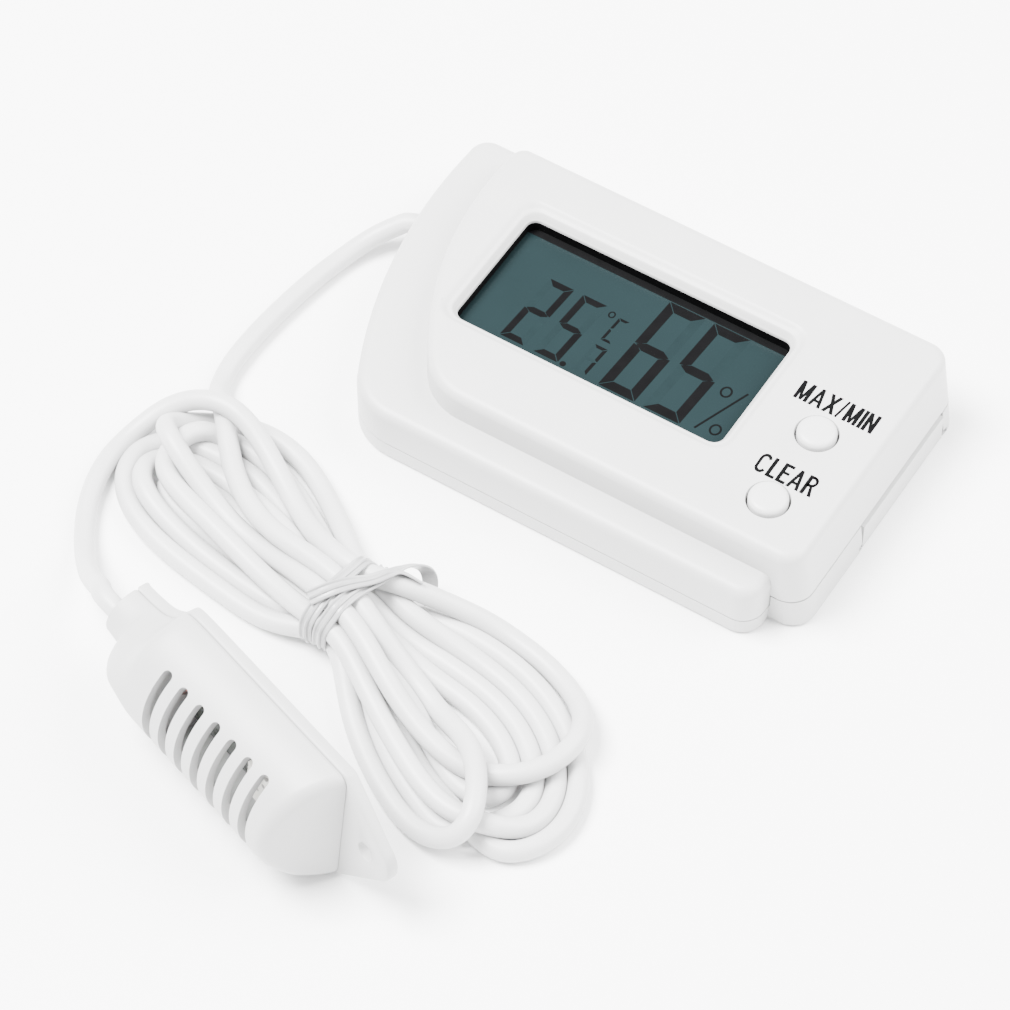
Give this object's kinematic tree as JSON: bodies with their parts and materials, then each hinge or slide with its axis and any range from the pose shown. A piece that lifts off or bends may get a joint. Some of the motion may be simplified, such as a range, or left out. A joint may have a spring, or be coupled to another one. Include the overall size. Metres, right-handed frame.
{
  "type": "maximum minimum thermometer",
  "caption": "White digital maximum and minimum thermometer and hygrometer with a display, push buttons and a slotted sensor probe on a tied cord.",
  "frame": {"origin": "centre of the case's flat back face, which lies on the ground", "axes": "+X to the right of the display, +Y to the top of the display, +Z out of the display"},
  "size_m": [0.0952, 0.1171, 0.0209],
  "materials": {
    "case": "smooth satin white",
    "buttons": "smooth satin white",
    "probe": "smooth satin white",
    "display": "grey green liquid crystal under polarizing film",
    "reflector": "satin film",
    "elastomer": "matte",
    "board": "solder mask",
    "black_resin": "matte",
    "spring_steel": "polished",
    "screws": "zinc plated",
    "cells": "nickel plated",
    "contacts": "tinned spring brass",
    "core_wires": "smooth insulation",
    "sensor": "matte",
    "cord": "satin white PVC jacket",
    "tie": "clear PVC"
  },
  "bodies": {
    "case": {"front_shell": "case", "rear_shell": "case", "lcd_glass": "display", "lcd_reflector": "reflector", "zebra_strip": "elastomer", "main_pcb": "board", "controller_chip": "black_resin", "max_min_dome": "spring_steel", "clear_dome": "spring_steel", "case_screws": "screws", "pcb_screws": "screws", "battery_cell_a": "cells", "battery_cell_b": "cells", "battery_contact_pos": "contacts", "battery_contact_neg": "contacts", "battery_bridge": "contacts", "lead_core_wires": "core_wires", "probe_cover": "probe", "probe_base": "probe", "probe_pcb": "board", "humidity_sensor": "sensor", "thermistor": "black_resin", "probe_core_wires": "core_wires", "cord_lead": "cord", "cord_hank": "cord", "cord_tail": "cord", "cord_tie": "tie"},
    "max_min_button": {"max_min_button": "buttons"},
    "clear_button": {"clear_button": "buttons"},
    "battery_door": {"battery_door": "case"}
  },
  "joints": [
    {"name": "max_min_press", "type": "slide", "parent": "case", "child": "max_min_button", "axis": [0, 0, -1], "range_m": [0, 0.0007], "stiffness_N_per_m": 1200, "springref_m": -0.0004},
    {"name": "clear_press", "type": "slide", "parent": "case", "child": "clear_button", "axis": [0, 0, -1], "range_m": [0, 0.0007], "stiffness_N_per_m": 1200, "springref_m": -0.0004},
    {"name": "battery_door_slide", "type": "slide", "parent": "case", "child": "battery_door", "axis": [1, 0, 0], "range_m": [0, 0.024]}
  ]
}
